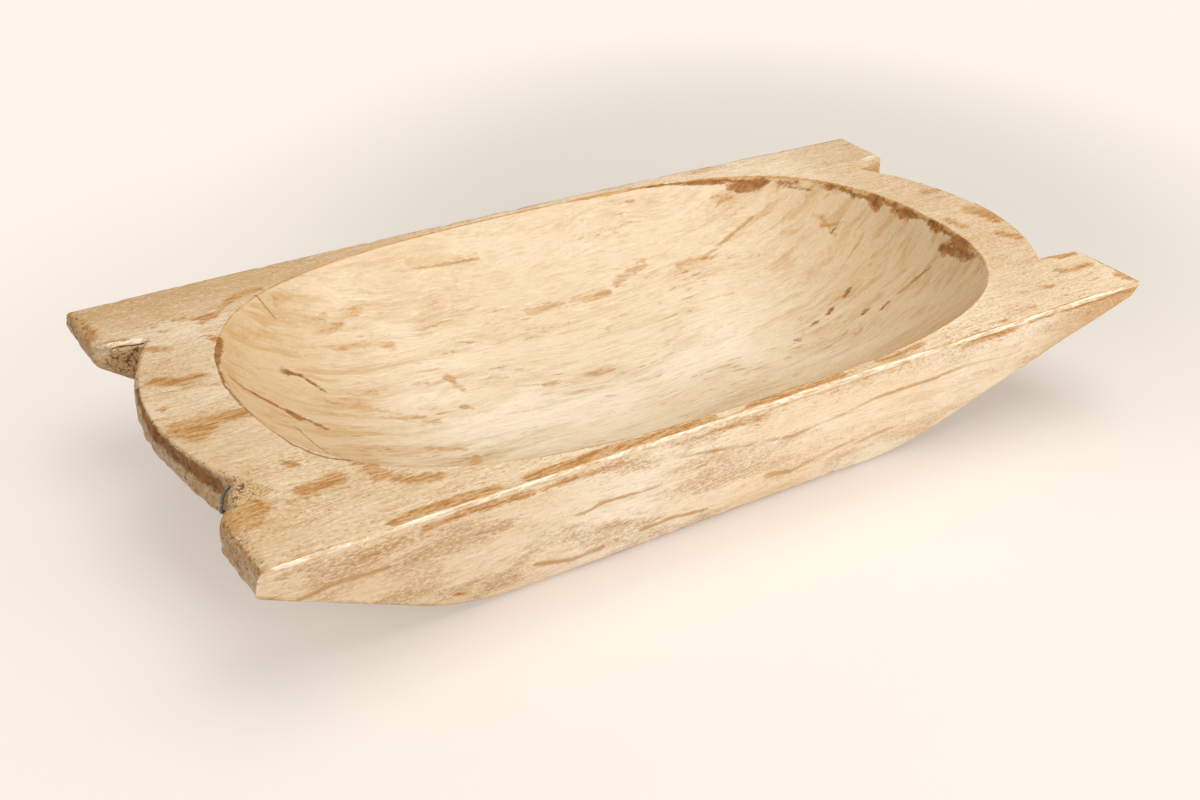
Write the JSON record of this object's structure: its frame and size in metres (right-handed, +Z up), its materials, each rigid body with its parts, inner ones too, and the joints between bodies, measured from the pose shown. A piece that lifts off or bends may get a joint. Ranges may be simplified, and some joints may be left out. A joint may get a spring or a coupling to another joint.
{
  "type": "dough bowl",
  "caption": "Long carved wooden dough bowl with a scooped hollow, sloping boat-shaped ends, square corner horns and a distressed cream finish.",
  "frame": {"origin": "middle of the bowl's length and width, on the surface that its flat base stands on", "axes": "+X along the bowl's length towards the end without repairs, +Y across it towards the bowed back edge, +Z up"},
  "size_m": [0.502, 0.2446, 0.08],
  "materials": {
    "painted_wood": "worn cream wash over brown wood, matt",
    "wood_filler": "rough sawdust and glue, matt",
    "staple_wire": "dull grey wire"
  },
  "bodies": {
    "root": {"bowl_body": "painted_wood", "front_notch_filler": "wood_filler", "back_notch_filler": "wood_filler", "notch_staple": "staple_wire"}
  },
  "joints": []
}
